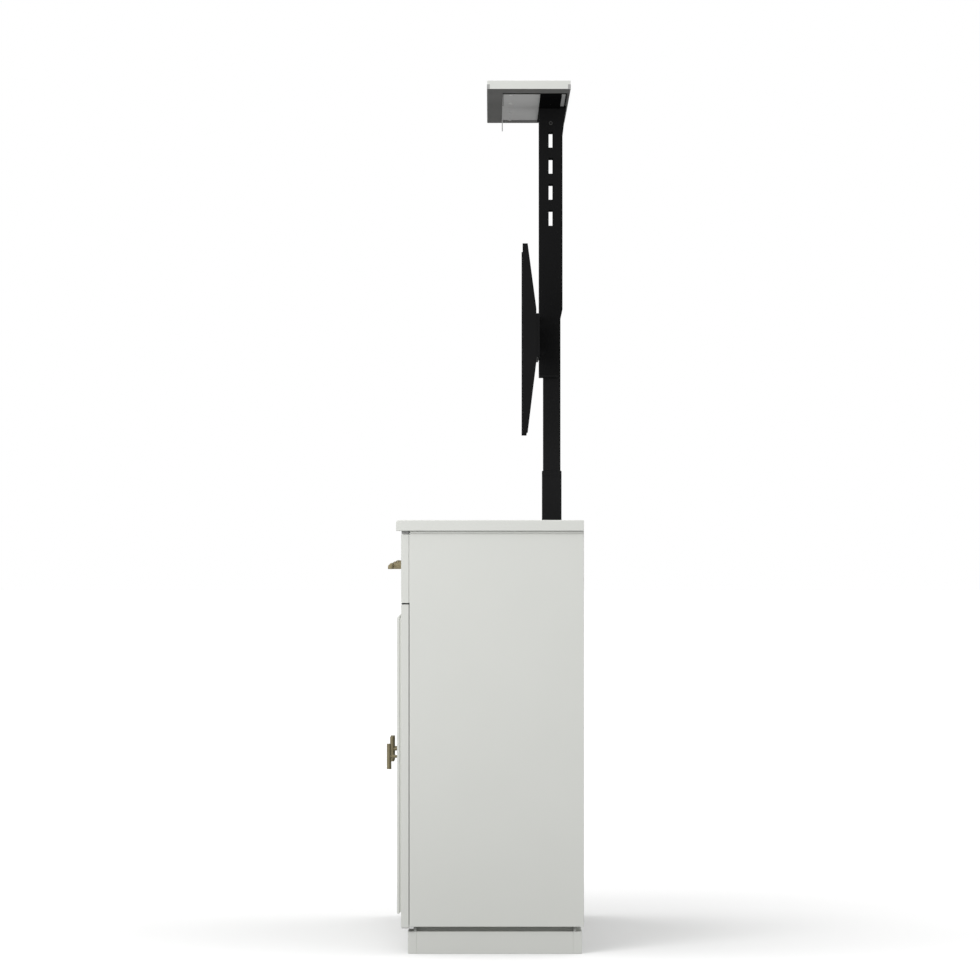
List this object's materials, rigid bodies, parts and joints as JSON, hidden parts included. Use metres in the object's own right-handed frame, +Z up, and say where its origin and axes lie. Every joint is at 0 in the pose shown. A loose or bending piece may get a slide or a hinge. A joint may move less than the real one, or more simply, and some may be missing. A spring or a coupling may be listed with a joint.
{
  "type": "tv lift cabinet",
  "caption": "Tall shallow painted cabinet with drawers over doors and a mast lift that raises a screen frame and a lid through the counter.",
  "frame": {"origin": "on the floor, at the middle of the plinth brace and under the centre of the counter", "axes": "+X to the right along the front, +Y from the front to the back, +Z up"},
  "size_m": [1.2, 0.4219, 1.848],
  "materials": {
    "cabinet_paint": "satin warm grey-white paint",
    "inner_board": "matt faced board, off-white",
    "drawer_board": "clear lacquered birch",
    "black_steel": "fine textured black powder coat",
    "antique_brass": "brushed antique brass",
    "zinc_steel": "bright zinc plate",
    "black_plastic": "moulded black nylon"
  },
  "bodies": {
    "cabinet": {"plinth_front": "cabinet_paint", "plinth_rear": "cabinet_paint", "plinth_end_left": "cabinet_paint", "plinth_end_right": "cabinet_paint", "plinth_brace": "inner_board", "side_panel_left": "cabinet_paint", "side_panel_right": "cabinet_paint", "countertop": "cabinet_paint", "back_panel": "cabinet_paint", "bottom_panel": "inner_board", "divider_left": "inner_board", "divider_right": "inner_board", "mid_deck": "inner_board", "well_panel": "inner_board", "sub_top": "inner_board", "rear_rail": "inner_board", "shelf_left": "inner_board", "shelf_centre": "inner_board", "shelf_right": "inner_board", "shelf_cleats": "inner_board", "pivot_leaves": "black_steel", "cabinet_slides": "zinc_steel", "lift_base": "black_steel", "mast_brackets": "black_steel", "outer_column": "black_steel", "outer_collar": "black_plastic", "motor_gearbox": "black_steel", "lead_screw": "zinc_steel", "control_box": "black_plastic"},
    "mid_stage": {"mid_column": "black_steel", "mid_collar": "black_plastic", "drive_nut": "black_plastic"},
    "inner_stage": {"inner_column": "black_steel"},
    "carriage": {"carriage_post": "black_steel", "carriage_runner": "black_plastic", "cross_plate": "black_steel", "arm_bolts": "zinc_steel", "screen_arm_left": "black_steel", "screen_arm_right": "black_steel", "lid_plate": "black_steel", "lid": "cabinet_paint", "lid_screws": "zinc_steel"},
    "drawer_left_body": {"drawer_box_left": "drawer_board", "drawer_front_left": "cabinet_paint", "drawer_pull_left": "antique_brass", "drawer_slides_left": "zinc_steel"},
    "drawer_centre_body": {"drawer_box_centre": "drawer_board", "drawer_front_centre": "cabinet_paint", "drawer_pull_centre": "antique_brass", "drawer_slides_centre": "zinc_steel"},
    "drawer_right_body": {"drawer_box_right": "drawer_board", "drawer_front_right": "cabinet_paint", "drawer_pull_right": "antique_brass", "drawer_slides_right": "zinc_steel"},
    "door_left_body": {"door_left": "cabinet_paint", "door_knob_left": "antique_brass"},
    "door_centre_body": {"door_centre": "cabinet_paint", "door_knob_centre": "antique_brass"},
    "door_right_body": {"door_right": "cabinet_paint", "door_knob_right": "antique_brass"}
  },
  "joints": [
    {"name": "mid_stage_slide", "type": "slide", "parent": "cabinet", "child": "mid_stage", "axis": [0, 0, 1], "range_m": [-0.311, 0]},
    {"name": "inner_stage_slide", "type": "slide", "parent": "mid_stage", "child": "inner_stage", "axis": [0, 0, 1], "range_m": [-0.311, 0]},
    {"name": "carriage_slide", "type": "slide", "parent": "inner_stage", "child": "carriage", "axis": [0, 0, 1], "range_m": [-0.311, 0]},
    {"name": "drawer_left_slide", "type": "slide", "parent": "cabinet", "child": "drawer_left_body", "axis": [0, -1, 0], "range_m": [0, 0.105]},
    {"name": "drawer_centre_slide", "type": "slide", "parent": "cabinet", "child": "drawer_centre_body", "axis": [0, -1, 0], "range_m": [0, 0.105]},
    {"name": "drawer_right_slide", "type": "slide", "parent": "cabinet", "child": "drawer_right_body", "axis": [0, -1, 0], "range_m": [0, 0.105]},
    {"name": "door_left_hinge", "type": "hinge", "parent": "cabinet", "child": "door_left_body", "pos_m": [-0.585, -0.1824, 0.056], "axis": [0, 0, -1], "range_deg": [0, 105]},
    {"name": "door_centre_hinge", "type": "hinge", "parent": "cabinet", "child": "door_centre_body", "pos_m": [0.19067, -0.1824, 0.056], "axis": [0, 0, 1], "range_deg": [0, 90]},
    {"name": "door_right_hinge", "type": "hinge", "parent": "cabinet", "child": "door_right_body", "pos_m": [0.585, -0.1824, 0.056], "axis": [0, 0, 1], "range_deg": [0, 105]}
  ],
  "couplings": [
    {"joint": "inner_stage_slide", "follows": "mid_stage_slide", "ratio": 1},
    {"joint": "carriage_slide", "follows": "mid_stage_slide", "ratio": 1}
  ]
}
